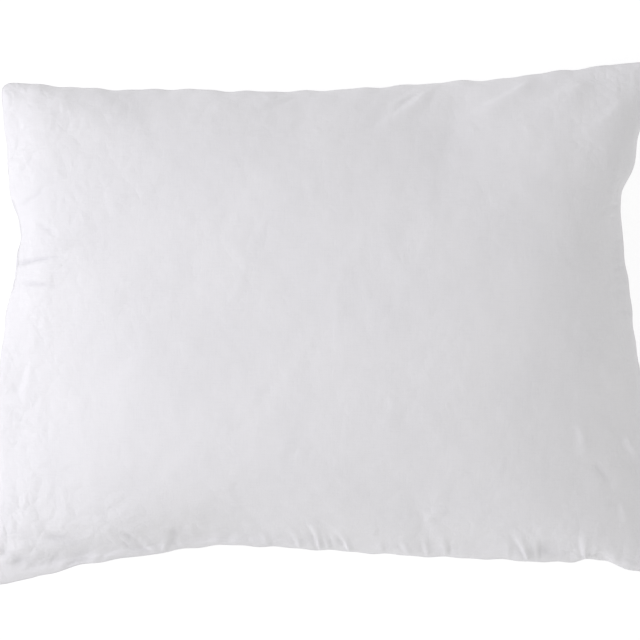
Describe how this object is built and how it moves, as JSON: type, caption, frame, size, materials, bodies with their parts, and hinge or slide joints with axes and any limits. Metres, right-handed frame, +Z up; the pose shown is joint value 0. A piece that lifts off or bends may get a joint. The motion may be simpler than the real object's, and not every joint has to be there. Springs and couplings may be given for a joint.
{
  "type": "bed pillow",
  "caption": "Plump rectangular bed pillow: white cotton cover of two panels seamed at the rim, fibre filling, and a blank sewn-in label.",
  "frame": {"origin": "on the resting surface, under the middle of the box round the pillow", "axes": "+X along the pillow's long side, +Y across it towards its back edge, +Z up out of the surface it lies on"},
  "size_m": [0.665, 0.523, 0.165],
  "materials": {
    "cover_cloth": "matte",
    "seam_cloth": "matte",
    "sewing_thread": "satin",
    "fibre_core": "matte",
    "fibre_wrap": "matte",
    "label_satin": "satin"
  },
  "bodies": {
    "pillow": {"cover_top_panel": "cover_cloth", "cover_bottom_panel": "cover_cloth", "edge_seam": "seam_cloth", "closing_seam": "seam_cloth", "edge_thread": "sewing_thread", "closing_thread": "sewing_thread", "fill_core": "fibre_core", "fill_top_wrap": "fibre_wrap", "fill_bottom_wrap": "fibre_wrap"},
    "label_flap": {"care_label": "label_satin"}
  },
  "joints": [
    {"name": "label_swing", "type": "hinge", "parent": "pillow", "child": "label_flap", "pos_m": [-0.32655, -0.12, 0.075], "axis": [0, 1, 0], "range_deg": [0, 150]}
  ]
}
